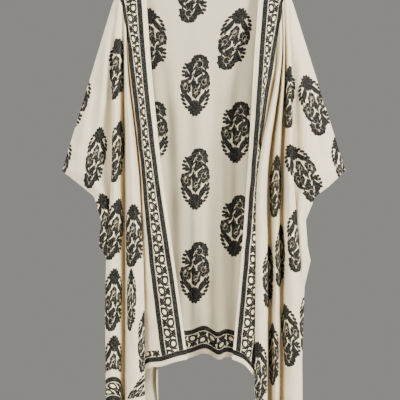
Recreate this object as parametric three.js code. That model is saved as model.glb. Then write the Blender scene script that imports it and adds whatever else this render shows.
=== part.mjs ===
// A long open-front kimono coat of light printed cloth, hanging on a plain wooden hanger.
// Millimetres, +Z up, +X to the viewer's right, and the front faces -Y.
// The origin is the inside top of the hook, where a rail carries it.

import * as THREE from "three";

// Driving sizes of the hanger
const HOOK_WIRE = 3.6;
const HOOK_RADIUS = 21;
const HOOK_TURN = Math.PI * 1.08;
const SHANK_TOP = -49;
const SHANK_BEND = 14;
const HOOK_SWEEP = 18;
const BAR_TOP = -75;
const BAR_HALF = 208;
const BAR_SLOPE = 0.36;
const BAR_DEEP = 26;
const BAR_THICK = 10;
const BAR_BEVEL = 3;
const BAR_TIP_DEEP = 14;
const BAR_TO_HOOK = 0.3;

// Driving sizes of the cloth
const CLOTH = 1.5;
const SEAM_HALF_GAP = 0.18;
const SEAM = CLOTH / 2 + SEAM_HALF_GAP;
const NECK_HALF = 143;
const NECK_SCOOP = 16;
const NECK_LIFT = 2;
const HANG_TOP = -185;
const HANG_FULL = -520;

// How far in front of the hanger's middle plane the cloth lies at its arm, and lower down
const DEPTH_AT_ARM = 8.5;
const DEPTH_BELOW = 14;
const FOLD_SHARE_AT_ARM = 0.12;

// The heights at which the fold tables give a place across
const FOLD_HEIGHTS = [-335, -610, -860];

// The cloth bends over the arm in these steps: drop below the arm's top, and depth
const ARM_LAP = [
  { rise: 1.6, depth: SEAM },
  { rise: 1.1, depth: 4.6 },
  { rise: -3, depth: 7.4 },
  { rise: -14, depth: 8 },
];

// The heights of the rows between the arm and the hem
const ROW_HEIGHTS = [
  -195, -235, -285, -335, -400, -465, -540, -612, -652, -677, -735, -797, -835, -900, -985,
];
const HEM_ROWS = 2;

// Folds of the viewer's left front, from its free edge to the sleeve.
// Columns: name, x on the arm, x at the three fold heights, x at the hem,
// depth of the fold, z of the hem.
const LEFT_FOLDS = [
  ["front edge", -145, -130, -102, -68, -38, 28, -1078],
  ["band middle", -165, -155, -127, -96, -65, 35, -1083],
  ["band outer", -184, -183, -152, -136, -100, 27, -1095],
  ["band fold", -186, -185.5, -156, -152, -144, 14, -1107],
  ["tuck by band", -188, -188, -158, -158, -157, 9, -1225],
  ["crest 1 right", -191, -190, -162, -147, -143, 30, -1252],
  ["crest 1", -194, -192, -174, -167, -165, 42, -1258],
  ["crest 1 left", -197, -195, -187, -186, -187, 32, -1262],
  ["valley 1", -200, -198, -196, -196, -196, 4, -1245],
  ["crest 2 right", -202, -204, -206, -206, -207, 26, -1196],
  ["crest 2", -204, -214, -217, -223, -225, 38, -1190],
  ["pleat edge", -206, -224, -226, -240, -240, 26, -1200],
  ["under pleat", -208, -219, -218, -229, -227, 9, -1216],
];

// Folds of the viewer's right front, with the same columns
const RIGHT_FOLDS = [
  ["front edge", 143, 127, 110, 92, 72, 30, -1078],
  ["band middle", 163, 150, 125, 112, 100, 37, -1090],
  ["band outer", 180, 176, 138, 134, 127, 27, -1120],
  ["tuck by band", 185, 184, 148, 147, 146, 10, -1140],
  ["crest 1 left", 189, 187, 136, 130, 127, 33, -1200],
  ["crest 1", 191, 190, 146, 143, 141, 42, -1236],
  ["crest 1 right", 193, 194, 157, 156, 155, 33, -1250],
  ["valley 1", 195, 197, 165, 166, 165, 2, -1255],
  ["crest 2", 198, 201, 181, 181, 179, 36, -1258],
  ["valley 2", 201, 206, 196, 196, 195, 4, -1260],
  ["crest 3 left", 203, 209, 204, 205, 205, 28, -1260],
  ["crest 3", 205, 213, 213, 221, 225, 38, -1258],
  ["pleat edge", 207, 219, 223, 241, 246, 26, -1256],
  ["under pleat", 208.5, 214, 215, 229, 231, 9, -1256],
];

// Folds of the back, from the viewer's left sleeve to the right one, with the same columns.
// Depth here is behind the hanger's middle plane.
const BACK_FOLDS = [
  ["left under", -208.5, -226, -230, -222, -222, 6, -1212],
  ["left fold 1", -205, -212, -214, -210, -212, 28, -1214],
  ["left valley 1", -200, -198, -196, -192, -196, 3, -1200],
  ["left fold 2", -193, -182, -176, -170, -172, 30, -1246],
  ["left valley 2", -182, -166, -156, -148, -150, 5, -1258],
  ["left fold 3", -165, -147, -133, -124, -117, 16, -1258],
  ["left shoulder", -150, -126, -112, -104, -113, 4, -1106],
  ["panel 1", -140, -100, -89, -80, -78, 11, -1090],
  ["panel 2", -98, -72, -62, -56, -54, 3, -1084],
  ["panel 3", -48, -40, -34, -30, -32, 10, -1082],
  ["panel 4", -6, -8, -4, 0, 6, 2, -1070],
  ["panel 5", 38, 24, 26, 28, 41, 11, -1087],
  ["panel 6", 92, 58, 56, 56, 58, 3, -1079],
  ["panel 7", 140, 92, 86, 82, 84, 12, -1086],
  ["right shoulder", 150, 124, 112, 106, 110, 3, -1096],
  ["right fold 3", 166, 148, 134, 128, 130, 18, -1112],
  ["right valley 2", 183, 168, 158, 152, 152, 5, -1140],
  ["right fold 2", 193, 184, 178, 174, 176, 30, -1172],
  ["right valley 1", 200, 199, 198, 196, 200, 3, -1200],
  ["right fold 1", 205, 213, 216, 214, 222, 28, -1216],
  ["right under", 208.5, 228, 232, 230, 236, 6, -1214],
];

// The free outer edge of each side. The seam holds it down to the sleeve's tip.
// Below, it swings in along the sleeve's mouth and falls in a cascade.
// Columns: z, x, depth of the front's edge, depth of the back's edge.
const LEFT_SIDE = [
  [-152, -211.5, SEAM, SEAM],
  [-195, -226, SEAM, SEAM],
  [-612, -352, SEAM, SEAM],
  [-652, -300, 14, 10],
  [-677, -270, 26, 14],
  [-735, -252, 36, 20],
  [-797, -258, 34, 22],
  [-835, -236, 24, 16],
  [-900, -224, 18, 14],
  [-1270, -218, 18, 14],
];
const RIGHT_SIDE = [
  [-152, 211.5, SEAM, SEAM],
  [-195, 225, SEAM, SEAM],
  [-612, 356, SEAM, SEAM],
  [-652, 312, 14, 10],
  [-677, 278, 24, 14],
  [-735, 254, 34, 18],
  [-797, 258, 40, 22],
  [-835, 266, 32, 22],
  [-900, 252, 20, 14],
  [-1270, 240, 18, 14],
];
const SLEEVE_BELLY = 14;
const SIDE_HEM = -1262;
const SIDE_ROW_DROP = 3;

// Steps of the surface between two folds
const FRONT_STEPS = 3;
const BACK_STEPS = 2;

function mix(a, b, t) {
  return a + (b - a) * t;
}

function smooth(t) {
  const s = Math.min(Math.max(t, 0), 1);
  return s * s * (3 - 2 * s);
}

// A value read from a falling list of heights, smooth through each given value
function along(heights, values, z) {
  if (z >= heights[0]) {
    return values[0];
  }
  const last = heights.length - 1;
  if (z <= heights[last]) {
    return values[last];
  }
  const i = heights.findIndex((h, n) => z <= h && z >= heights[n + 1]);
  const slope = (n) => {
    const lo = Math.max(n - 1, 0);
    const hi = Math.min(n + 1, last);
    return (values[hi] - values[lo]) / (heights[hi] - heights[lo]);
  };
  const span = heights[i + 1] - heights[i];
  const t = (z - heights[i]) / span;
  const rise = values[i + 1] - values[i];
  const ease = t * t * (3 - 2 * t);
  const start = t * (1 - t) * (1 - t) * span * slope(i);
  const end = t * t * (t - 1) * span * slope(i + 1);
  return values[i] + rise * ease + start + end;
}

// A value read from a table of rows [z, ...], straight between the rows
function tableAt(rows, column, z) {
  const next = rows.findIndex((row) => row[0] <= z);
  if (next <= 0) {
    return next === 0 ? rows[0][column] : rows[rows.length - 1][column];
  }
  const [above, below] = [rows[next - 1], rows[next]];
  return mix(above[column], below[column], (z - above[0]) / (below[0] - above[0]));
}

function armTop(x) {
  return BAR_TOP - BAR_SLOPE * Math.abs(x);
}

// Depth of a fold at a height: shallow at the arm, full at the chest and below
function depthAt(fold, z) {
  const full = smooth((HANG_TOP - z) / (HANG_TOP - HANG_FULL));
  return mix(DEPTH_AT_ARM, DEPTH_BELOW, full) + fold * mix(FOLD_SHARE_AT_ARM, 1, full);
}

// The rows of one fold line as points across, depth and height
function foldLine([, xArm, ...rest], isNeck) {
  const [depth, hem] = rest.slice(-2);
  const across = [xArm, ...rest.slice(0, -2)];
  const heights = [armTop(xArm), ...FOLD_HEIGHTS, hem];
  const points = ARM_LAP.map(({ rise, depth: lap }) => {
    if (isNeck) {
      const scoop = NECK_SCOOP * (1 - (xArm / NECK_HALF) ** 2);
      const z = armTop(NECK_HALF) + NECK_LIFT - scoop + rise - ARM_LAP[0].rise;
      return [xArm, DEPTH_AT_ARM, z];
    }
    return [xArm, lap, armTop(xArm) + rise];
  });
  for (const z of ROW_HEIGHTS) {
    points.push([along(heights, across, z), depthAt(depth, z), z]);
  }
  const lastRow = ROW_HEIGHTS[ROW_HEIGHTS.length - 1];
  for (let n = 1; n <= HEM_ROWS; n += 1) {
    const z = mix(lastRow, hem, n / HEM_ROWS);
    points.push([along(heights, across, z), depthAt(depth, z), z]);
  }
  return points;
}

// The outer edge's own line, row by row like the folds
function sideLine(side, depthColumn) {
  const arm = side[0];
  const points = ARM_LAP.map((_, n) => [arm[1], arm[depthColumn], arm[0] - SIDE_ROW_DROP * n]);
  const lastRow = ROW_HEIGHTS[ROW_HEIGHTS.length - 1];
  const heights = [...ROW_HEIGHTS];
  for (let n = 1; n <= HEM_ROWS; n += 1) {
    heights.push(mix(lastRow, SIDE_HEM, n / HEM_ROWS));
  }
  for (const z of heights) {
    points.push([tableAt(side, 1, z), tableAt(side, depthColumn, z), z]);
  }
  return points;
}

// The sleeve swells between the last fold and the outer edge
function bellyLine(inner, outer) {
  return inner.map(([x, y, z], row) => {
    const [xo, yo, zo] = outer[row];
    const swell = SLEEVE_BELLY * smooth((HANG_TOP - z) / (HANG_TOP - HANG_FULL));
    return [mix(x, xo, 0.5), mix(y, yo, 0.5) + swell, mix(z, zo, 0.5)];
  });
}

// A wall of even thickness about a grid of points: lines[column][row] = [x, depth, z]
function clothWall(name, lines, steps, facing) {
  const rows = lines[0].length;
  const grid = [];
  for (let row = 0; row < rows; row += 1) {
    const stations = lines.map((line) => {
      const [x, depth, z] = line[row];
      return new THREE.Vector3(x, facing * depth, z);
    });
    const section = new THREE.CatmullRomCurve3(stations, false, "centripetal");
    const columns = (lines.length - 1) * steps;
    const points = [];
    for (let n = 0; n <= columns; n += 1) {
      points.push(section.getPoint(n / columns));
    }
    grid.push(points);
  }
  const columns = grid[0].length;
  const clamp = (n, top) => Math.min(Math.max(n, 0), top - 1);
  const at = (row, column) => grid[clamp(row, rows)][clamp(column, columns)];
  const positions = [];
  for (const side of [1, -1]) {
    for (let row = 0; row < rows; row += 1) {
      for (let column = 0; column < columns; column += 1) {
        const across = at(row, column + 1).clone().sub(at(row, column - 1));
        const down = at(row + 1, column).clone().sub(at(row - 1, column));
        const normal = across.cross(down).normalize();
        const p = at(row, column).clone().addScaledVector(normal, (side * CLOTH) / 2);
        positions.push(p.x, p.y, p.z);
      }
    }
  }
  const index = [];
  const half = rows * columns;
  const quad = (a, b, c, d) => index.push(a, b, c, a, c, d);
  for (let row = 0; row < rows - 1; row += 1) {
    for (let column = 0; column < columns - 1; column += 1) {
      const a = row * columns + column;
      const b = a + 1;
      const c = b + columns;
      const d = a + columns;
      quad(a, b, c, d);
      quad(half + a, half + d, half + c, half + b);
    }
  }
  const border = [];
  for (let column = 0; column < columns - 1; column += 1) {
    border.push(column);
  }
  for (let row = 0; row < rows - 1; row += 1) {
    border.push(row * columns + columns - 1);
  }
  for (let column = columns - 1; column > 0; column -= 1) {
    border.push((rows - 1) * columns + column);
  }
  for (let row = rows - 1; row > 0; row -= 1) {
    border.push(row * columns);
  }
  border.forEach((a, n) => {
    const b = border[(n + 1) % border.length];
    quad(a, half + a, half + b, b);
  });
  const geometry = new THREE.BufferGeometry();
  geometry.setAttribute("position", new THREE.Float32BufferAttribute(positions, 3));
  geometry.setIndex(index);
  if (signedVolume(geometry) < 0) {
    turnInsideOut(geometry);
  }
  geometry.computeVertexNormals();
  const cloth = new THREE.MeshStandardMaterial({
    color: 0xe9e2d0,
    roughness: 0.78,
    metalness: 0,
  });
  const mesh = new THREE.Mesh(geometry, cloth);
  mesh.name = name;
  return mesh;
}

function signedVolume(geometry) {
  const position = geometry.getAttribute("position");
  const corner = [new THREE.Vector3(), new THREE.Vector3(), new THREE.Vector3()];
  let volume = 0;
  for (let n = 0; n < geometry.index.count; n += 3) {
    corner.forEach((v, k) => v.fromBufferAttribute(position, geometry.index.getX(n + k)));
    volume += corner[0].dot(corner[1].clone().cross(corner[2])) / 6;
  }
  return volume;
}

function turnInsideOut(geometry) {
  const index = geometry.index;
  for (let n = 0; n < index.count; n += 3) {
    const b = index.getX(n + 1);
    index.setX(n + 1, index.getX(n + 2));
    index.setX(n + 2, b);
  }
}

function frontPanel(name, folds, side) {
  const lines = folds.map((fold) => foldLine(fold, false));
  const edge = sideLine(side, 2);
  lines.push(bellyLine(lines[lines.length - 1], edge), edge);
  return clothWall(name, lines, FRONT_STEPS, -1);
}

function backPanel() {
  const folds = BACK_FOLDS.map((fold) => foldLine(fold, Math.abs(fold[1]) < NECK_HALF));
  const left = sideLine(LEFT_SIDE, 3);
  const right = sideLine(RIGHT_SIDE, 3);
  const lines = [
    left,
    bellyLine(folds[0], left),
    ...folds,
    bellyLine(folds[folds.length - 1], right),
    right,
  ];
  return clothWall("back", lines, BACK_STEPS, 1);
}

// Flat wooden bar with two sloping arms and rounded edges
function hangerBar() {
  const x = BAR_HALF - BAR_BEVEL;
  const inset = BAR_BEVEL;
  const drop = BAR_SLOPE * x;
  const foot = BAR_TOP - drop - BAR_TIP_DEEP;
  const outline = new THREE.Shape();
  outline.moveTo(-x, BAR_TOP - drop - inset);
  outline.lineTo(0, BAR_TOP - inset);
  outline.lineTo(x, BAR_TOP - drop - inset);
  outline.lineTo(x, foot);
  outline.quadraticCurveTo(x / 2, BAR_TOP - drop / 2 - BAR_DEEP, 0, BAR_TOP - BAR_DEEP);
  outline.quadraticCurveTo(-x / 2, BAR_TOP - drop / 2 - BAR_DEEP, -x, foot);
  const geometry = new THREE.ExtrudeGeometry(outline, {
    depth: BAR_THICK - 2 * BAR_BEVEL,
    bevelThickness: BAR_BEVEL,
    bevelSize: BAR_BEVEL,
    bevelSegments: 2,
    curveSegments: 8,
  });
  geometry.translate(0, 0, BAR_BEVEL - BAR_THICK / 2);
  geometry.rotateX(Math.PI / 2);
  const wood = new THREE.MeshStandardMaterial({ color: 0xb98d5c, roughness: 0.5, metalness: 0 });
  const mesh = new THREE.Mesh(geometry, wood);
  mesh.name = "hanger_bar";
  return mesh;
}

// Wire hook: a shank out of the bar's top, then most of a circle over the rail
function hangerHook() {
  const centre = -HOOK_RADIUS + HOOK_WIRE / 2;
  const reach = HOOK_RADIUS;
  const route = new THREE.CurvePath();
  const down = new THREE.Vector3(0, 0, BAR_TOP + BAR_TO_HOOK);
  const neck = new THREE.Vector3(0, 0, SHANK_TOP);
  const side = new THREE.Vector3(reach, 0, centre);
  route.add(new THREE.LineCurve3(down, neck));
  const lower = new THREE.Vector3(0, 0, SHANK_TOP + SHANK_BEND);
  const upper = new THREE.Vector3(reach, 0, centre - HOOK_SWEEP);
  route.add(new THREE.CubicBezierCurve3(neck, lower, upper, side));
  const turn = [];
  const turnSteps = 12;
  for (let n = 0; n <= turnSteps; n += 1) {
    const angle = (HOOK_TURN * n) / turnSteps;
    turn.push(new THREE.Vector3(reach * Math.cos(angle), 0, centre + reach * Math.sin(angle)));
  }
  route.add(new THREE.CatmullRomCurve3(turn));
  const section = new THREE.Shape();
  section.absarc(0, 0, HOOK_WIRE / 2, 0, Math.PI * 2);
  const geometry = new THREE.ExtrudeGeometry(section, {
    steps: 34,
    curveSegments: 5,
    extrudePath: route,
    bevelEnabled: false,
  });
  const steel = new THREE.MeshStandardMaterial({ color: 0xb9bcc0, roughness: 0.3, metalness: 1 });
  const mesh = new THREE.Mesh(geometry, steel);
  mesh.name = "hanger_hook";
  return mesh;
}

const coat = new THREE.Group();
coat.add(backPanel());
coat.add(frontPanel("front_left", LEFT_FOLDS, LEFT_SIDE));
coat.add(frontPanel("front_right", RIGHT_FOLDS, RIGHT_SIDE));
coat.add(hangerBar());
coat.add(hangerHook());

export default coat;
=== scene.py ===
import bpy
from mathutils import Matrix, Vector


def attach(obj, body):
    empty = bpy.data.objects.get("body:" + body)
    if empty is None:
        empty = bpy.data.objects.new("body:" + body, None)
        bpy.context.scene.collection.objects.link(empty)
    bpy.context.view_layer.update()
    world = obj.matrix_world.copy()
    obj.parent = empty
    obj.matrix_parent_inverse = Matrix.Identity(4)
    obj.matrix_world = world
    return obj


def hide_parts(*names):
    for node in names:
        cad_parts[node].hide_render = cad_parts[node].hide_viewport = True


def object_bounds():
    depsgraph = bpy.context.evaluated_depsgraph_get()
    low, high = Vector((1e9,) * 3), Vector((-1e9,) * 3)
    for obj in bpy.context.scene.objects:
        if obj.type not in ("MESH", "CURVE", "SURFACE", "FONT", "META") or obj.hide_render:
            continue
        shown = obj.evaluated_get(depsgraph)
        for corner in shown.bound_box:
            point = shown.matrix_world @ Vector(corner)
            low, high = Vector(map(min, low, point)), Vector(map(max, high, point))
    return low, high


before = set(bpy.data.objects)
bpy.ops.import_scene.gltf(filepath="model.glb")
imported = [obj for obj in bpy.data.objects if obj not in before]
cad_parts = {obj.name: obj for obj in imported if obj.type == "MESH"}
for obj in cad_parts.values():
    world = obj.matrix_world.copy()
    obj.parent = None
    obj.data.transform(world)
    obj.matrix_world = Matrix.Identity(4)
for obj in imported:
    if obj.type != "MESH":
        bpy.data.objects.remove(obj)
cad_box = [list(corner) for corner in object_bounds()]

import math

import bpy
import numpy as np
from mathutils import Vector

# Camera, floor and studio light.
# The coat is seen straight on, from the height of its middle, and the view is one metre across.
# The shoulders and the hanger are above the view and the lowest corners are below it.
VIEW_WIDTH = 1.0
VIEW_CENTRE = Vector((-0.0075, 0.0, -0.685))
VIEW_DISTANCE = 3.4
SENSOR = 36.0
FLOOR_DROP = 0.42
FLOOR_SIZE = 5.0
FLOOR_GREY = (0.62, 0.61, 0.6, 1)
WALL_GREY = (0.27, 0.263, 0.25, 1)
LAMP_TINT = (1.0, 0.955, 0.89)
LAMP_AIM = Vector((0, 0, -0.7))

camera_data = bpy.data.cameras.new("camera")
camera_data.sensor_width = SENSOR
camera_data.lens = SENSOR * VIEW_DISTANCE / VIEW_WIDTH
camera = bpy.data.objects.new("camera", camera_data)
camera.location = VIEW_CENTRE - Vector((0, VIEW_DISTANCE, 0))
camera.rotation_euler = (math.pi / 2, 0, 0)
bpy.context.collection.objects.link(camera)
bpy.context.scene.camera = camera


def deselect():
    bpy.ops.object.select_all(action="DESELECT")


deselect()
floor_z = cad_box[0][2] - FLOOR_DROP
bpy.ops.mesh.primitive_plane_add(size=FLOOR_SIZE, location=(0, 0, floor_z))
floor = bpy.context.object
floor.name = "floor"
floor_paint = bpy.data.materials.new("floor_paint")
floor_paint.use_nodes = True
floor_shader = floor_paint.node_tree.nodes["Principled BSDF"]
floor_shader.inputs["Base Color"].default_value = FLOOR_GREY
floor_shader.inputs["Roughness"].default_value = 0.8
floor.data.materials.append(floor_paint)

world = bpy.data.worlds.new("studio")
bpy.context.scene.world = world
world.use_nodes = True
world.node_tree.nodes["Background"].inputs["Color"].default_value = WALL_GREY
world.node_tree.nodes["Background"].inputs["Strength"].default_value = 1.0


def softbox(name, place, size, power):
    data = bpy.data.lights.new(name, "AREA")
    data.shape = "RECTANGLE"
    data.size, data.size_y = size
    data.energy = power
    data.color = LAMP_TINT
    lamp = bpy.data.objects.new(name, data)
    lamp.location = place
    lamp.rotation_euler = (LAMP_AIM - Vector(place)).to_track_quat("-Z", "Y").to_euler()
    bpy.context.collection.objects.link(lamp)


softbox("key_light", (2.7, -2.1, 1.1), (0.9, 1.2), 285)
softbox("fill_light", (-2.2, -2.4, 0.3), (1.0, 1.4), 112)
softbox("back_light", (0.6, 2.6, 0.6), (1.8, 1.8), 40)

# The cloth's shape.
# Each panel hangs from the hanger's arm in folds that run down to the hem. A row of a table is one
# fold line: its place across at the arm, at three heights and at the hem, how far it stands out
# from the hanger's middle plane, and the height of the hem there. All in millimetres.
MM = 0.001
BAR_TOP, BAR_SLOPE = -75, 0.36
NECK_HALF, NECK_SCOOP, NECK_LIFT = 143, 16, 2
HANG_TOP, HANG_FULL = -185, -520
DEPTH_AT_ARM, DEPTH_BELOW, FOLD_SHARE_AT_ARM = 8.5, 14, 0.12
SEAM = 0.93
FOLD_HEIGHTS = [-335, -610, -860]
ARM_LAP = [(1.6, SEAM), (1.1, 4.6), (-3, 7.4), (-14, 8)]
ROW_HEIGHTS = [
    *(-195, -235, -285, -335, -400, -465, -540, -612),
    *(-652, -677, -735, -797, -835, -900, -985),
]
HEM_ROWS = 2
SLEEVE_BELLY = 14
SIDE_HEM = -1262
SIDE_ROW_DROP = 3

LEFT_FOLDS = {
    # fold: (x at arm, x at 335, x at 610, x at 860, x at hem, depth, hem)
    "front edge": (-145, -130, -102, -68, -38, 28, -1078),
    "band middle": (-165, -155, -127, -96, -65, 35, -1083),
    "band outer": (-184, -183, -152, -136, -100, 27, -1095),
    "band fold": (-186, -185.5, -156, -152, -144, 14, -1107),
    "tuck by band": (-188, -188, -158, -158, -157, 9, -1225),
    "crest 1 right": (-191, -190, -162, -147, -143, 30, -1252),
    "crest 1": (-194, -192, -174, -167, -165, 42, -1258),
    "crest 1 left": (-197, -195, -187, -186, -187, 32, -1262),
    "valley 1": (-200, -198, -196, -196, -196, 4, -1245),
    "crest 2 right": (-202, -204, -206, -206, -207, 26, -1196),
    "crest 2": (-204, -214, -217, -223, -225, 38, -1190),
    "pleat edge": (-206, -224, -226, -240, -240, 26, -1200),
    "under pleat": (-208, -219, -218, -229, -227, 9, -1216),
}
RIGHT_FOLDS = {
    "front edge": (143, 127, 110, 92, 72, 30, -1078),
    "band middle": (163, 150, 125, 112, 100, 37, -1090),
    "band outer": (180, 176, 138, 134, 127, 27, -1120),
    "tuck by band": (185, 184, 148, 147, 146, 10, -1140),
    "crest 1 left": (189, 187, 136, 130, 127, 33, -1200),
    "crest 1": (191, 190, 146, 143, 141, 42, -1236),
    "crest 1 right": (193, 194, 157, 156, 155, 33, -1250),
    "valley 1": (195, 197, 165, 166, 165, 2, -1255),
    "crest 2": (198, 201, 181, 181, 179, 36, -1258),
    "valley 2": (201, 206, 196, 196, 195, 4, -1260),
    "crest 3 left": (203, 209, 204, 205, 205, 28, -1260),
    "crest 3": (205, 213, 213, 221, 225, 38, -1258),
    "pleat edge": (207, 219, 223, 241, 246, 26, -1256),
    "under pleat": (208.5, 214, 215, 229, 231, 9, -1256),
}
BACK_FOLDS = {
    "left under": (-208.5, -226, -230, -222, -222, 6, -1212),
    "left fold 1": (-205, -212, -214, -210, -212, 28, -1214),
    "left valley 1": (-200, -198, -196, -192, -196, 3, -1200),
    "left fold 2": (-193, -182, -176, -170, -172, 30, -1246),
    "left valley 2": (-182, -166, -156, -148, -150, 5, -1258),
    "left fold 3": (-165, -147, -133, -124, -117, 16, -1258),
    "left shoulder": (-150, -126, -112, -104, -113, 4, -1106),
    "panel 1": (-140, -100, -89, -80, -78, 11, -1090),
    "panel 2": (-98, -72, -62, -56, -54, 3, -1084),
    "panel 3": (-48, -40, -34, -30, -32, 10, -1082),
    "panel 4": (-6, -8, -4, 0, 6, 2, -1070),
    "panel 5": (38, 24, 26, 28, 41, 11, -1087),
    "panel 6": (92, 58, 56, 56, 58, 3, -1079),
    "panel 7": (140, 92, 86, 82, 84, 12, -1086),
    "right shoulder": (150, 124, 112, 106, 110, 3, -1096),
    "right fold 3": (166, 148, 134, 128, 130, 18, -1112),
    "right valley 2": (183, 168, 158, 152, 152, 5, -1140),
    "right fold 2": (193, 184, 178, 174, 176, 30, -1172),
    "right valley 1": (200, 199, 198, 196, 200, 3, -1200),
    "right fold 1": (205, 213, 216, 214, 222, 28, -1216),
    "right under": (208.5, 228, 232, 230, 236, 6, -1214),
}
# The free outer edge of each side: (z, x, depth of the front's edge, depth of the back's edge).
# A seam holds it down to the sleeve's tip, and below that it falls in a cascade.
LEFT_SIDE = [
    (-152, -211.5, SEAM, SEAM),
    (-195, -226, SEAM, SEAM),
    (-612, -352, SEAM, SEAM),
    (-652, -300, 14, 10),
    (-677, -270, 26, 14),
    (-735, -252, 36, 20),
    (-797, -258, 34, 22),
    (-835, -236, 24, 16),
    (-900, -224, 18, 14),
    (-1270, -218, 18, 14),
]
RIGHT_SIDE = [
    (-152, 211.5, SEAM, SEAM),
    (-195, 225, SEAM, SEAM),
    (-612, 356, SEAM, SEAM),
    (-652, 312, 14, 10),
    (-677, 278, 24, 14),
    (-735, 254, 34, 18),
    (-797, 258, 40, 22),
    (-835, 266, 32, 22),
    (-900, 252, 20, 14),
    (-1270, 240, 18, 14),
]


def mix(a, b, t):
    return a + (b - a) * t


def smooth(t):
    s = min(max(t, 0.0), 1.0)
    return s * s * (3 - 2 * s)


def along(heights, values, z):
    """A value at height z from a falling list of heights, smooth through each given value."""
    last = len(heights) - 1
    if z >= heights[0]:
        return values[0]
    if z <= heights[last]:
        return values[last]
    i = next(n for n in range(last) if heights[n] >= z >= heights[n + 1])

    def slope(n):
        lo, hi = max(n - 1, 0), min(n + 1, last)
        return (values[hi] - values[lo]) / (heights[hi] - heights[lo])

    span = heights[i + 1] - heights[i]
    t = (z - heights[i]) / span
    ease = t * t * (3 - 2 * t)
    start = t * (1 - t) ** 2 * span * slope(i)
    end = t * t * (t - 1) * span * slope(i + 1)
    return values[i] + (values[i + 1] - values[i]) * ease + start + end


def arm_top(x):
    return BAR_TOP - BAR_SLOPE * abs(x)


def hanging(z):
    return smooth((HANG_TOP - z) / (HANG_TOP - HANG_FULL))


def depth_at(fold, z):
    full = hanging(z)
    return mix(DEPTH_AT_ARM, DEPTH_BELOW, full) + fold * mix(FOLD_SHARE_AT_ARM, 1, full)


def fold_line(row, is_neck=False):
    *across, depth, hem = row
    x_arm = across[0]
    heights = [arm_top(x_arm), *FOLD_HEIGHTS, hem]
    points = []
    for rise, lap in ARM_LAP:
        if is_neck:
            scoop = NECK_SCOOP * (1 - (x_arm / NECK_HALF) ** 2)
            z = arm_top(NECK_HALF) + NECK_LIFT - scoop + rise - ARM_LAP[0][0]
            points.append((x_arm, DEPTH_AT_ARM, z))
        else:
            points.append((x_arm, lap, arm_top(x_arm) + rise))
    below = [mix(ROW_HEIGHTS[-1], hem, n / HEM_ROWS) for n in range(1, HEM_ROWS + 1)]
    for z in ROW_HEIGHTS + below:
        points.append((along(heights, across, z), depth_at(depth, z), z))
    return points


def side_line(side, depth_column):
    top = side[0]
    drops = [SIDE_ROW_DROP * n for n in range(len(ARM_LAP))]
    points = [(top[1], top[depth_column], top[0] - drop) for drop in drops]
    below = [mix(ROW_HEIGHTS[-1], SIDE_HEM, n / HEM_ROWS) for n in range(1, HEM_ROWS + 1)]
    table = np.array(side)[::-1]
    for z in ROW_HEIGHTS + below:
        x, depth = (float(np.interp(z, table[:, 0], table[:, k])) for k in (1, depth_column))
        points.append((x, depth, z))
    return points


def spline(points, places):
    """Centripetal curve through points (n, m, 3), read at places counted in points: (k, m, 3)."""
    ends = 2 * points[:1] - points[1:2], 2 * points[-1:] - points[-2:-1]
    knots = np.concatenate([ends[0], points, ends[1]])
    i = np.minimum(places.astype(int), len(points) - 2)
    t = (places - i)[:, None, None]
    p0, p1, p2, p3 = (knots[i + n] for n in range(4))

    def step(a, b):
        return np.maximum(np.linalg.norm(b - a, axis=2, keepdims=True), 1e-6) ** 0.5

    d0, d1, d2 = step(p0, p1), step(p1, p2), step(p2, p3)
    m1 = ((p1 - p0) / d0 - (p2 - p0) / (d0 + d1) + (p2 - p1) / d1) * d1
    m2 = ((p2 - p1) / d1 - (p3 - p1) / (d1 + d2) + (p3 - p2) / d2) * d1
    c2 = -3 * p1 + 3 * p2 - 2 * m1 - m2
    c3 = 2 * p1 - 2 * p2 + m1 + m2
    return p1 + m1 * t + c2 * t**2 + c3 * t**3


def straight(points, places):
    i = np.minimum(places.astype(int), len(points) - 2)
    t = (places - i)[:, None, None]
    return points[i] * (1 - t) + points[i + 1] * t


ROW_STEP = 4.5
LAP_HEIGHTS = [-135, -136.5, -139, -149]
HEM_HEIGHTS = [-1090, -1200]


def fine_rows():
    """Places down the fold lines, counted in rows, about ROW_STEP apart on the cloth."""
    heights = [*LAP_HEIGHTS, *ROW_HEIGHTS, *HEM_HEIGHTS]
    places = []
    for n, (above, below) in enumerate(zip(heights, heights[1:])):
        steps = max(2, round((above - below) / ROW_STEP))
        places += [n + k / steps for k in range(steps)]
    return np.array(places + [len(heights) - 1.0])


ROWS = fine_rows()


def belly(inner, outer):
    """The line halfway between the last fold and the outer edge, where the sleeve swells."""
    middle = (inner + outer) / 2
    middle[:, 1] += np.array([SLEEVE_BELLY * hanging(z) for z in inner[:, 2]])
    return middle


def refine(line, curve):
    return curve(np.array(line, dtype=float)[:, None, :], ROWS)[:, 0]


def front_lines(folds, side):
    lines = [refine(fold_line(row), spline) for row in folds.values()]
    edge = refine(side_line(side, 2), straight)
    return lines + [belly(lines[-1], edge), edge]


def back_lines():
    rows = BACK_FOLDS.values()
    folds = [refine(fold_line(row, abs(row[0]) < NECK_HALF), spline) for row in rows]
    left = refine(side_line(LEFT_SIDE, 3), straight)
    right = refine(side_line(RIGHT_SIDE, 3), straight)
    return [left, belly(folds[0], left), *folds, belly(folds[-1], right), right]


def surface(lines, steps, facing):
    """Points (columns, rows, 3) of a panel in millimetres. A front faces -1 and the back 1."""
    stations = np.array(lines)
    places = np.arange((len(lines) - 1) * steps + 1) / steps
    points = spline(stations, places)
    points[:, :, 1] *= facing
    return points


# A crease fades in and out over a quarter of its length. The faint waves start below the arm, and
# the seams at both sides hold the outer columns.
CREASE_FADE = 4
FAINT_WAVES, FAINT_DROP = 9, 200
FAINT_PITCH, FAINT_TURN, FAINT_SIZE, FAINT_DRIFT = (60, 190), (0, 6.3), (0.2, 0.6), (-30, 30)
FULL_TURN = 6.3
HELD_COLUMNS = 6


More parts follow.
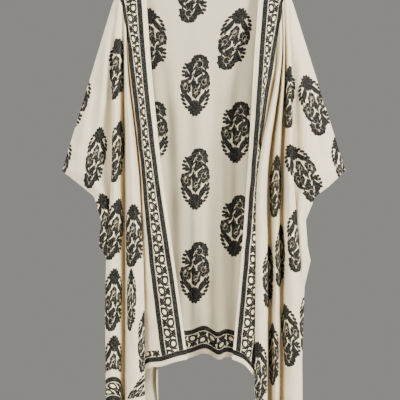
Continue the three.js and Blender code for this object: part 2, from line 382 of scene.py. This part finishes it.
def crease(points, facing, table, seed):
    """Soft troughs and ridges laid into the cloth: (x, z of the top, x, z of the foot, half width,
    height), and a faint unevenness down the folds."""
    x, z = points[:, :, 0], points[:, :, 2]
    rise = np.zeros_like(x)
    for x0, z0, x1, z1, wide, high in table:
        length = math.dist((x0, z0), (x1, z1))
        ux, uz = (x1 - x0) / length, (z1 - z0) / length
        t = ((x - x0) * ux + (z - z0) * uz) / length
        off = (x - x0) * uz - (z - z0) * ux
        fade = np.clip(t * CREASE_FADE, 0, 1) * np.clip((1 - t) * CREASE_FADE, 0, 1)
        rise += high * np.exp(-((off / wide) ** 2)) * fade * fade * (3 - 2 * fade)
    dice = np.random.default_rng(seed)
    hang = np.clip((HANG_TOP - z) / FAINT_DROP, 0, 1)
    column = np.linspace(0, 1, points.shape[0])[:, None]
    for _ in range(FAINT_WAVES):
        pitch, turn, size = (dice.uniform(*ends) for ends in (FAINT_PITCH, FAINT_TURN, FAINT_SIZE))
        drift = column * dice.uniform(*FAINT_DRIFT)
        rise += size * hang * np.sin(z / pitch * FULL_TURN + turn + drift)
    from_left = np.arange(len(x))
    held = np.minimum(from_left, from_left[::-1])[:, None] / HELD_COLUMNS
    points[:, :, 1] += facing * rise * np.clip(held, 0, 1)
    return points


def lengths(points, axis):
    """Length of cloth run through along an axis of the grid, starting at 0."""
    step = np.linalg.norm(np.diff(points, axis=axis), axis=2)
    run = np.cumsum(step, axis=axis)
    pad = [(1, 0), (0, 0)] if axis == 0 else [(0, 0), (1, 0)]
    return np.pad(run, pad)


def cloth_grid(name, points):
    """A grid primitive moved onto the panel's points."""
    columns, rows, _ = points.shape
    deselect()
    bpy.ops.mesh.primitive_grid_add(x_subdivisions=columns - 1, y_subdivisions=rows - 1, size=1)
    piece = bpy.context.object
    piece.name = name
    piece.data.name = name
    co = points.transpose(1, 0, 2).reshape(-1, 3) * MM
    piece.data.vertices.foreach_set("co", co.astype(np.float32).ravel())
    piece.data.update()
    return piece


def finish_cloth(piece, thickness):
    """Gives the sheet its thickness and soft shading."""
    deselect()
    piece.select_set(True)
    bpy.context.view_layer.objects.active = piece
    solid = piece.modifiers.new("thickness", "SOLIDIFY")
    solid.thickness = thickness
    solid.offset = 0
    bpy.ops.object.modifier_apply(modifier=solid.name)
    bpy.ops.object.shade_smooth_by_angle(angle=math.radians(60))


def sheet_area(points):
    a = points[1:, :-1] - points[:-1, :-1]
    b = points[:-1, 1:] - points[:-1, :-1]
    c = points[1:, :-1] - points[1:, 1:]
    d = points[:-1, 1:] - points[1:, 1:]
    twice = np.linalg.norm(np.cross(a, b), axis=2) + np.linalg.norm(np.cross(c, d), axis=2)
    return float(twice.sum()) / 2 * MM * MM


# Printed cloth.
# Cream viscose with a near-black block print: tall bouquets in a half-drop repeat, and a border of
# two bars with a leafy vine between them. Each colour of the print follows the cloth's own UV maps.
class Val:
    """A shader socket with arithmetic."""

    def __init__(self, tree, socket):
        self.tree, self.socket = tree, socket

    def node(self, kind, settings=None, inputs=(), out=0):
        made = self.tree.nodes.new(kind)
        for key, value in (settings or {}).items():
            setattr(made, key, value)
        for key, value in dict(inputs).items():
            target = made.inputs[key]
            if isinstance(value, Val):
                self.tree.links.new(value.socket, target)
            else:
                target.default_value = value
        return Val(self.tree, made.outputs[out])

    def math(self, operation, *others):
        return self.node("ShaderNodeMath", {"operation": operation}, enumerate((self, *others)))

    def __add__(self, o):
        return self.math("ADD", o)

    __radd__ = __add__

    def __sub__(self, o):
        return self.math("SUBTRACT", o)

    def __rsub__(self, o):
        return (self * -1.0) + o

    def __mul__(self, o):
        return self.math("MULTIPLY", o)

    __rmul__ = __mul__

    def max(self, o):
        return self.math("MAXIMUM", o)

    def abs(self):
        return self.math("ABSOLUTE")

    def round(self):
        return self.math("ROUND")

    def sin(self):
        return self.math("SINE")

    def cos(self):
        return self.math("COSINE")

    def length(self):
        return self.node("ShaderNodeVectorMath", {"operation": "LENGTH"}, {0: self}, "Value")

    def split(self):
        parts = self.node("ShaderNodeSeparateXYZ", None, {0: self}).socket.node.outputs
        return Val(self.tree, parts[0]), Val(self.tree, parts[1])

    def below(self, limit, soft):
        """1 where the value is below the limit, falling to 0 over the soft width."""
        if isinstance(limit, Val):
            return (self - limit).below(0.0, soft)
        settings = {"interpolation_type": "SMOOTHSTEP"}
        ends = {"Value": self, "From Min": limit - soft, "From Max": limit + soft}
        return self.node("ShaderNodeMapRange", settings, {**ends, "To Min": 1.0, "To Max": 0.0})

    def mix_colour(self, a, b):
        made = self.tree.nodes.new("ShaderNodeMix")
        made.data_type = "RGBA"
        self.tree.links.new(self.socket, made.inputs["Factor"])
        for key, value in ((6, a), (7, b)):
            if isinstance(value, Val):
                self.tree.links.new(value.socket, made.inputs[key])
            else:
                made.inputs[key].default_value = (*value, 1)
        return Val(self.tree, made.outputs[2])


def uv_sockets(tree, layer):
    made = tree.nodes.new("ShaderNodeUVMap")
    made.uv_map = layer
    parts = tree.nodes.new("ShaderNodeSeparateXYZ")
    tree.links.new(made.outputs[0], parts.inputs[0])
    return Val(tree, parts.outputs[0]) * 1000.0, Val(tree, parts.outputs[1]) * 1000.0


def noise(tree, vector, scale, detail=2.0, roughness=0.5):
    made = tree.nodes.new("ShaderNodeTexNoise")
    made.inputs["Scale"].default_value = scale
    made.inputs["Detail"].default_value = detail
    made.inputs["Roughness"].default_value = roughness
    tree.links.new(vector, made.inputs["Vector"])
    return Val(tree, made.outputs["Fac"])


PRINT_SOFT = 0.4


def oval(point, x, y, long, wide, turn):
    """The point in the frame of a turned oval, where the oval is the unit circle."""
    settings = {"vector_type": "TEXTURE"}
    place = {"Location": (x, y, 0), "Rotation": (0, 0, math.radians(turn))}
    inputs = {"Vector": point, **place, "Scale": (long, wide, 1)}
    return point.node("ShaderNodeMapping", settings, inputs)


def spots(point, table):
    """The union of soft ovals: (x, y, half length, half width, turn in degrees)."""
    shade = None
    for x, y, long, wide, turn in table:
        soft = PRINT_SOFT / min(long, wide)
        one = oval(point, x, y, long, wide, turn).length().below(1.0, soft)
        shade = one if shade is None else shade.max(one)
    return shade


def blossom(point, x, y, long, wide, turn, petals):
    """A flower with a scalloped rim, thin light lines between its petals and a light ring."""
    local = oval(point, x, y, long, wide, turn)
    across, up = local.split()
    r = local.length()
    angle = up.math("ARCTAN2", across)
    size = min(long, wide)
    lobes = (angle * (petals / 2) + r * 0.9).cos().abs()
    disc = (r - lobes * 0.12 - 0.92) * size
    parting = (lobes * r * size).below(0.7, 0.3) * r.below(0.86, 0.05) * (1 - r.below(0.4, 0.05))
    ring = ((r - 0.36).abs() * size).below(0.5, 0.3)
    return disc.below(0.0, PRINT_SOFT) * (1 - parting.max(ring) * 0.4)


BLOSSOMS = (
    (13, 54, 24, 23, 80, 9),
    (24, 9, 19, 17, 90, 8),
    (-24, -2, 21, 14, 95, 7),
    (3, -14, 20, 13, 85, 7),
)
FILL = (
    (-10, 46, 15, 12, 60),
    (-13, 27, 14, 13, 80),
    (10, 27, 12, 10, 20),
    (-5, 8, 12, 9, 90),
    (31, 30, 9, 5, -50),
    (0, -46, 11, 11, 90),
    (0, -61, 12, 11, 90),
    (20, -30, 16, 7, 54),
    (-18, -31, 16, 7, 126),
)
LIGHT_STEMS = (
    (17, -20, 23, 1.5, 46),
    (-12, -25, 17, 1.5, 139),
    (-9, -11, 13, 1.0, 92),
    (-12, 11, 5, 2.0, 45),
    (-6, 19, 8, 1.1, 70),
    (-2, 34, 7, 1.4, 55),
    (9, 21, 12, 1.4, 38),
    (11, -3, 6, 1.0, 65),
    (-24, 18, 9, 1.2, 20),
    (-18, 38, 9, 1.0, 120),
    (5, 54, 4, 1.0, 20),
    (14, 66, 4.5, 0.9, 100),
    (22, 44, 6, 1.0, 140),
    (28, 14, 4, 0.9, 60),
    (-25, 3, 5, 0.9, 80),
    (3, -16, 5, 0.9, 40),
    (0, 47, 5, 0.9, 60),
    (36, 33, 8, 1.1, 120),
)
UPPER_LEAVES = (
    (-21, 53, 5.5, 3.9, 140),
    (-26, 45, 5.5, 3.9, 160),
    (-28, 36, 5.5, 3.9, 175),
    (-28, 27, 5.5, 3.7, 190),
    (2, 71, 5.5, 4.4, 110),
    (15, 73.5, 5.5, 4.6, 90),
    (28, 69, 5.5, 4.6, 50),
    (33, 59, 5.5, 4.3, 15),
    (33, 46, 5.5, 4.0, -20),
    (34, 26, 8, 3.4, -45),
)
# The leaf sprays and the tail are alike on both sides, so only the right half is listed.
LOWER_LEAVES = (
    (33, -14, 7.5, 4.0, 60),
    (34, -25, 7, 3.9, 45),
    (31.5, -35, 7, 3.9, 35),
    (28, -45, 7, 3.8, 28),
    (22, -54, 6.5, 3.6, 15),
    (14, -60.5, 6, 4.3, -5),
    (9.5, -67, 6, 4.3, -35),
    (3.5, -71.5, 6, 4.5, -70),
    (25, -17, 8, 3.3, 80),
    (21.5, -27, 8, 3.3, 75),
    (17, -37, 8, 3.5, 70),
    (12, -46, 7, 3.5, 68),
    (22, -35, 22, 2.2, 52),
    (12, -56, 9, 4.5, 50),
)


TAIL_LEAN, TAIL_MIDDLE = 0.04, 2.0


def bouquet(x, y):
    """One printed bouquet about 78 by 154 mm: flowers above, leaf sprays and a tail below."""
    point = x.node("ShaderNodeCombineXYZ", None, {"X": x, "Y": y})
    dark = spots(point, FILL)
    for flower in BLOSSOMS:
        dark = dark.max(blossom(point, *flower))
    dark = (dark * (1 - spots(point, LIGHT_STEMS))).max(spots(point, UPPER_LEAVES))
    skewed = (x - y * TAIL_LEAN - TAIL_MIDDLE).abs()
    mirrored = x.node("ShaderNodeCombineXYZ", None, {"X": skewed, "Y": y})
    return dark.max(spots(mirrored, LOWER_LEAVES))


MARGIN = 12.0
BAR = 12.5
VINE_MIDDLE = 41.0
VINE_UNIT = 26.0
BORDER = 2 * VINE_MIDDLE - MARGIN
# One half unit of the vine, turned over for the next: leaf clusters outside, a light cell inside.
WAVE_HIGH, WAVE_SHIFT, STEM_HALF = 8.5, 1.5, 2.6
CELL = (-1, -6, 9.5, 7.0, 18)
CELL_SIZE, CELL_RIM = 7.0, 2.3
VINE_LEAVES = (
    (0, 10, 7, 4.8, 90),
    (-6, 10, 6.5, 3.0, 125),
    (6, 10, 6.5, 3.0, 55),
    (-12, -11, 5.5, 3.2, 140),
    (12, -8, 6, 2.8, 75),
)


def vine(run, off):
    unit = (run * (1 / VINE_UNIT)).round()
    a = run - unit * VINE_UNIT
    b = off * (unit * math.pi).cos()
    wave = (a * (math.pi / VINE_UNIT)).cos() * WAVE_HIGH - WAVE_SHIFT
    point = a.node("ShaderNodeCombineXYZ", None, {"X": a, "Y": b})
    cell = oval(point, *CELL).length()
    outline = ((cell - 1.0).abs() * CELL_SIZE).below(CELL_RIM, PRINT_SOFT)
    stem = (b - wave).abs().below(STEM_HALF, PRINT_SOFT)
    return stem.max(outline).max(spots(point, VINE_LEAVES))


LINE_GAP, LINE_HALF = 2.6, 0.5


def bars(edge):
    """The two bars of the border and the fine line inside each."""
    off = (edge - VINE_MIDDLE).abs()
    half = VINE_MIDDLE - MARGIN
    bar = (off - (half - BAR / 2)).abs().below(BAR / 2, PRINT_SOFT)
    return bar.max((off - (half - BAR - LINE_GAP)).abs().below(LINE_HALF, 0.3))


def between_bars(edge):
    return (edge - VINE_MIDDLE).abs().below(VINE_MIDDLE - MARGIN - BAR - 1.0, PRINT_SOFT)


CREAM = (0.95, 0.875, 0.63)
CREAM_WARM = (0.93, 0.845, 0.59)
# Painted shade: the dark brown cream laid into the folds' depths.
CREAM_PAINTED_SHADE = (0.60, 0.50, 0.32)
# Painted shade: the back's creams are scaled down so the back, a single thin layer with the grey
# wall behind it, reads darker than the fronts.
PAINTED_BACK_SHADE = 0.76
FOLD_REACH = 0.05
INK = (0.004, 0.005, 0.006)
INK_WORN = (0.034, 0.037, 0.036)
# Near the band the fronts' hem shows only its lower bar, further out the whole border.
WHOLE_BORDER_FROM = 190.0
# Plain cloth kept between a border and the nearest bouquet, and the part of the vine at the hem.
BORDER_CLEAR = 4
HEM_CLEAR, HEM_CLEAR_MORE, HEM_VINE = 18, 45, 16
STITCH_FROM_HEM = 8.0
THREAD_PITCH = 0.55


def printed_cloth(name, has_band):
    """The cloth's material, with the band along the free front edge or without it."""
    material = bpy.data.materials.new(name)
    material.use_nodes = True
    tree = material.node_tree
    shader = tree.nodes["Principled BSDF"]
    motif_x, motif_y = uv_sockets(tree, "bouquets")
    from_front, from_hem = uv_sockets(tree, "edges")
    across, down = uv_sockets(tree, "weave")
    hem_bar = (from_hem - (MARGIN + BAR / 2)).abs().below(BAR / 2, PRINT_SOFT)
    if has_band:
        above_bar = 1 - from_hem.below(MARGIN + BAR, PRINT_SOFT)
        outside = 1 - from_front.below(BORDER + BORDER_CLEAR, PRINT_SOFT)
        run = across * outside + down * (1 - outside)
        off = from_hem * outside + from_front * (1 - outside) - VINE_MIDDLE
        far = 1 - from_front.below(WHOLE_BORDER_FROM, 3.0)
        hem_vine = from_hem.below(MARGIN + BAR + HEM_VINE, PRINT_SOFT)
        low = outside * hem_vine.max(between_bars(from_hem) * far)
        leaves = vine(run, off) * between_bars(from_front).max(low)
        lines = (bars(from_front).max(leaves) * above_bar).max(hem_bar).max(bars(from_hem) * far)
        clear = far * HEM_CLEAR_MORE + MARGIN + BAR + HEM_CLEAR
        field = outside * (1 - from_hem.below(clear, PRINT_SOFT))
    else:
        leaves = vine(across, from_hem - VINE_MIDDLE) * between_bars(from_hem)
        lines = bars(from_hem).max(leaves)
        field = 1 - from_hem.below(BORDER + BORDER_CLEAR, PRINT_SOFT)
    ink = (bouquet(motif_x, motif_y) * field).max(lines)
    position = tree.nodes.new("ShaderNodeTexCoord").outputs["Object"]
    speck = noise(tree, position, 420.0, 4.0, 0.65)
    worn = speck.below(0.44, 0.08)
    broad = noise(tree, position, 14.0, 3.0)
    # Painted shade: where ambient occlusion finds the cloth's own folds close over it, the cream
    # darkens to the painted fold shade.
    deep = tree.nodes.new("ShaderNodeAmbientOcclusion")
    deep.only_local = True
    deep.samples = 6
    deep.inputs["Distance"].default_value = FOLD_REACH
    open_side = Val(tree, deep.outputs["AO"])
    # Painted shade: the back gets darker copies of the fronts' creams.
    share = 1.0 if has_band else PAINTED_BACK_SHADE
    creams = CREAM, CREAM_WARM, CREAM_PAINTED_SHADE
    cream, warm, painted_shade = (tuple(c * share for c in colour) for colour in creams)
    cream = broad.mix_colour(cream, warm)
    cream = open_side.below(0.56, 0.34).mix_colour(cream, painted_shade)
    dark = worn.mix_colour(INK, INK_WORN)
    colour = (ink * (1 - worn * 0.05)).mix_colour(cream, dark)
    tree.links.new(colour.socket, shader.inputs["Base Color"])
    rough = 0.74 - ink * 0.06 + broad * 0.05
    tree.links.new(rough.socket, shader.inputs["Roughness"])
    shader.inputs["Sheen Weight"].default_value = 0.03
    shader.inputs["Sheen Roughness"].default_value = 0.5
    shader.inputs["Specular IOR Level"].default_value = 0.12
    thread = 2 * math.pi / THREAD_PITCH
    weave = (across * thread).sin() * (down * thread).sin()
    hem_stitch = (from_hem - STITCH_FROM_HEM).abs().below(0.5, 0.4)
    slub = noise(tree, position, 260.0, 2.0)
    height = weave * 0.5 + slub * 0.8 - hem_stitch * 2.5
    bump = tree.nodes.new("ShaderNodeBump")
    bump.inputs["Strength"].default_value = 0.25
    bump.inputs["Distance"].default_value = 0.0003
    tree.links.new(height.socket, bump.inputs["Height"])
    tree.links.new(bump.outputs[0], shader.inputs["Normal"])
    return material


CLOTH_THICK = 0.0007
COLUMN_STEPS = 10
BACK_COLUMN_STEPS = 7


def write_uv(piece, layer, across, down):
    """A UV map in metres of cloth from (columns, rows) grids in millimetres."""
    mesh = piece.data
    uv = mesh.uv_layers.get(layer) or mesh.uv_layers.new(name=layer)
    vertex = np.empty(len(mesh.loops), dtype=np.int32)
    mesh.loops.foreach_get("vertex_index", vertex)
    column, row = vertex % across.shape[0], vertex // across.shape[0]
    pair = np.stack([across[column, row], down[column, row]], axis=1)
    uv.data.foreach_set("uv", (pair * MM).astype(np.float32).ravel())


FLAT_FROM = 245
BOUQUET_HALF = (44, 84)


def place_bouquets(piece, points, facing, places):
    """The UV map of the bouquets: every face reads its place in the bouquet nearest to it.
    A place is (x, z, lean in degrees, width share, 1 upright or -1 turned over). On the flat of
    the sleeve it is measured straight across, elsewhere along the folds."""
    columns, rows, _ = points.shape
    side_way = 1 if points[-1, 0, 0] > points[0, 0, 0] else -1
    across = lengths(points, 0) * side_way
    mesh = piece.data
    vertex = np.empty(len(mesh.loops), dtype=np.int32)
    mesh.loops.foreach_get("vertex_index", vertex)
    column, row = vertex % columns, vertex // columns
    best = np.full(len(vertex), 1e6)
    u, v = np.full(len(vertex), 1000.0), np.full(len(vertex), 1000.0)
    for x, z, lean, share, way in places:
        level = int(np.argmin(np.abs(points[:, :, 2].mean(axis=0) - z)))
        gap = np.abs(points[:, level, 0] - x)
        near = gap < max(4.0, gap.min() + 0.5)
        height = np.where(near, points[:, level, 1] * facing, -1e6)
        centre = int(np.argmax(height))
        a = points[:, :, 0] - x if abs(x) > FLAT_FROM else across - across[centre]
        b = points[:, :, 2] - z
        c, s = math.cos(math.radians(lean)), math.sin(math.radians(lean))
        side, up = (a * c + b * s) * way / share, (b * c - a * s) * way
        side, up = side[column, row], up[column, row]
        miss = np.maximum(np.abs(side) / BOUQUET_HALF[0], np.abs(up) / BOUQUET_HALF[1])
        miss = miss.reshape(-1, 4).mean(axis=1).repeat(4)
        closer = miss < best
        best = np.where(closer, miss, best)
        u, v = np.where(closer, side, u), np.where(closer, up, v)
    uv = mesh.uv_layers.new(name="bouquets")
    uv.data.foreach_set("uv", (np.stack([u, v], axis=1) * MM).astype(np.float32).ravel())


# The back.
# One wide panel from sleeve to sleeve. Its neck edge spans between the hanger's arms, and its
# printed side shows between the fronts.
COLUMN_STEP, ROW_REPEAT = 105, 235
FIRST_COLUMN, FIRST_ROW, TURNED_ABOVE, LAST_ROW = -23, -163, -340, -900
PAST_BORDER = 90

BACK_CREASES = (
    (-250, -330, -290, -600, 14, 5),
    (-285, -360, -318, -560, 10, -4),
    (-235, -260, -262, -620, 12, -5),
    (255, -300, 285, -600, 14, 5),
    (290, -380, 322, -570, 10, -4),
    (238, -260, 262, -620, 12, -5),
    (-75, -240, -72, -1060, 26, 3.5),
    (-15, -240, -16, -1060, 25, -3.5),
    (45, -240, 46, -1060, 26, 3.5),
    (98, -240, 92, -1060, 22, -3),
    (44, -420, 50, -1070, 8, -3),
    (-20, -560, -22, -1060, 7, -2.5),
    (74, -330, 70, -980, 8, -2.5),
)
back_points = crease(surface(back_lines(), BACK_COLUMN_STEPS, 1), 1, BACK_CREASES, 4)
back_run = lengths(back_points, 1)
back_across = lengths(back_points, 0)
back = cloth_grid("back_cloth", back_points)
back_places = []
for k in range(-4, 5):
    for n in range(4):
        place_z = FIRST_ROW - ROW_REPEAT * n - (ROW_REPEAT / 2 if k % 2 else 0)
        way = -1 if place_z > TURNED_ABOVE else 1
        if place_z > LAST_ROW:
            back_places.append((FIRST_COLUMN + COLUMN_STEP * k, place_z, 0, 1, way))
place_bouquets(back, back_points, -1, back_places)
middle = int(np.argmin(np.abs(back_points[:, -1, 0])))
back_across -= back_across[middle]
# The hem's border isn't seen on the long left fold, so there the print is read past the border.
# In the list of lines the free edge and the sleeve's belly come before the first fold.
fold_names = list(BACK_FOLDS)
plain_from, plain_to = (fold_names.index(name) + 2 for name in ("left fold 3", "left shoulder"))
plain_columns = slice(plain_from * BACK_COLUMN_STEPS - 3, plain_to * BACK_COLUMN_STEPS)
back_hem = back_run[:, -1:] - back_run
back_hem[plain_columns] += PAST_BORDER
write_uv(back, "edges", back_across, back_hem)
write_uv(back, "weave", back_across, -back_points[:, :, 2])
finish_cloth(back, CLOTH_THICK)
back.data.materials.append(printed_cloth("back_print", has_band=False))
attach(back, "root")
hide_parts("back")
back_cut = (float(np.ptp(back_across, axis=0).max()) * MM, float(back_run.max()) * MM)
back_area = sheet_area(back_points)

# The fronts.
# Each front is one panel with its half of the sleeve. The printed band runs down its free edge, and
# its bouquets are printed upside down.
LEFT_CREASES = (
    (-238, -250, -262, -660, 10, 5),
    (-252, -300, -296, -640, 13, -5),
    (-272, -380, -322, -600, 12, 4),
    (-300, -480, -262, -690, 12, 4),
    (-226, -330, -236, -720, 6, -3),
    (-118, -560, -96, -900, 8, -3),
)
RIGHT_CREASES = (
    (240, -250, 262, -660, 10, 5),
    (256, -300, 300, -640, 13, -5),
    (276, -380, 326, -600, 12, 4),
    (310, -500, 262, -700, 12, 4),
    (228, -330, 238, -720, 6, -3),
    (106, -600, 92, -930, 7, -3),
)
LEFT_PLACES = (
    (-212, -360, 0, 1.0, -1),
    (-318, -442, -18, 0.8, -1),
    (-265, -580, -8, 0.62, -1),
    (-366, -595, -18, 0.8, -1),
    (-205, -565, -6, 0.8, -1),
    (-242, -745, 0, 0.8, -1),
    (-212, -757, -8, 0.85, -1),
    (-174, -772, 0, 0.8, -1),
    (-216, -930, 0, 0.75, -1),
    (-180, -930, 0, 0.35, -1),
    (-142, -1035, 0, 0.45, -1),
    (-216, -1095, 0, 0.75, -1),
    (-158, -1165, -35, 0.5, -1),
)
RIGHT_PLACES = (
    (278, -447, 20, 0.84, -1),
    (221, -430, 0, 1.0, -1),
    (250, -615, 32, 0.84, -1),
    (356, -600, 20, 0.7, -1),
    (185, -650, 0, 0.9, -1),
    (238, -785, 0, 0.8, -1),
    (195, -822, 0, 0.8, -1),
    (166, -873, 0, 0.9, -1),
    (206, -1017, 12, 0.8, -1),
    (170, -1065, 6, 0.8, -1),
    (262, -985, 0, 0.6, -1),
    (135, -1110, 6, 0.8, -1),
)
# The width the band's print takes up on its face: (z, width).
LEFT_BAND = ((-185, 70), (-310, 56), (-435, 53), (-610, 55), (-735, 61), (-860, 68), (-950, 70))
RIGHT_BAND = ((-185, 68), (-310, 54), (-435, 42), (-540, 34), (-600, 60), (-640, 70))
# Below TURN_FROM the band's edge turns in a little, fully so at twice that drop.
BAND_TURN, TURN_FROM = 5.0, 450


def squeezed(across, z, widths):
    """Distance from the front edge as the print sees it: the vine gives way where the band is
    gathered, and the two bars keep their width."""
    heights, sizes = zip(*reversed(widths))
    width = np.interp(z, heights, sizes)
    first, last = MARGIN + BAR, BORDER - BAR
    gap = width - BAR - first
    vine_part = first + (across - first) * (last - first) / gap
    beyond = across - width + BORDER
    return np.where(across < first, across, np.where(across < first + gap, vine_part, beyond))


def front_cloth(name, node, folds, side, creases, places, widths, seed):
    points = crease(surface(front_lines(folds, side), COLUMN_STEPS, -1), -1, creases, seed)
    across = lengths(points, 0)
    run = lengths(points, 1)
    lower = np.clip((-points[:, :, 2] - TURN_FROM) / TURN_FROM, 0, 1)
    piece = cloth_grid(name, points)
    place_bouquets(piece, points, -1, places)
    from_front = squeezed(across, points[:, :, 2], widths) + BAND_TURN * lower
    write_uv(piece, "edges", from_front, run[:, -1:] - run)
    write_uv(piece, "weave", across, -points[:, :, 2])
    finish_cloth(piece, CLOTH_THICK)
    piece.data.materials.append(printed_cloth(name + "_print", has_band=True))
    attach(piece, "root")
    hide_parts(node)
    cut = (float(across.max()) * MM, float(run.max()) * MM)
    sheet_area(points)


left_tables = LEFT_FOLDS, LEFT_SIDE, LEFT_CREASES, LEFT_PLACES, LEFT_BAND
right_tables = RIGHT_FOLDS, RIGHT_SIDE, RIGHT_CREASES, RIGHT_PLACES, RIGHT_BAND
front_cloth("front_left_cloth", "front_left", *left_tables, seed=13)
front_cloth("front_right_cloth", "front_right", *right_tables, seed=12)

# The hanger.
# A flat bar of lacquered beech with a polished steel wire hook screwed into its top.
def node_material(name, build):
    material = bpy.data.materials.new(name)
    material.use_nodes = True
    tree = material.node_tree
    position = tree.nodes.new("ShaderNodeTexCoord").outputs["Object"]
    build(tree, tree.nodes["Principled BSDF"], position)
    return material


def beech(tree, shader, position):
    stretch = tree.nodes.new("ShaderNodeMapping")
    stretch.inputs["Scale"].default_value = (3, 40, 40)
    tree.links.new(position, stretch.inputs["Vector"])
    grain = noise(tree, stretch.outputs[0], 6.0, 5.0, 0.6)
    fleck = noise(tree, stretch.outputs[0], 40.0, 2.0)
    colour = grain.mix_colour((0.52, 0.33, 0.17), (0.36, 0.20, 0.09))
    tree.links.new(colour.socket, shader.inputs["Base Color"])
    tree.links.new((fleck * 0.15 + 0.32).socket, shader.inputs["Roughness"])
    bump = tree.nodes.new("ShaderNodeBump")
    bump.inputs["Strength"].default_value = 0.2
    bump.inputs["Distance"].default_value = 0.0002
    tree.links.new(grain.socket, bump.inputs["Height"])
    tree.links.new(bump.outputs[0], shader.inputs["Normal"])


def polished_wire(tree, shader, position):
    scuff = noise(tree, position, 300.0, 3.0)
    colour = scuff.mix_colour((0.60, 0.61, 0.63), (0.48, 0.49, 0.51))
    tree.links.new(colour.socket, shader.inputs["Base Color"])
    tree.links.new((scuff * 0.2 + 0.12).socket, shader.inputs["Roughness"])
    shader.inputs["Metallic"].default_value = 1.0


def dress_node(node, material):
    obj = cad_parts[node]
    obj.data.materials.clear()
    obj.data.materials.append(material)


dress_node("hanger_bar", node_material("beech", beech))
dress_node("hanger_hook", node_material("polished_wire", polished_wire))
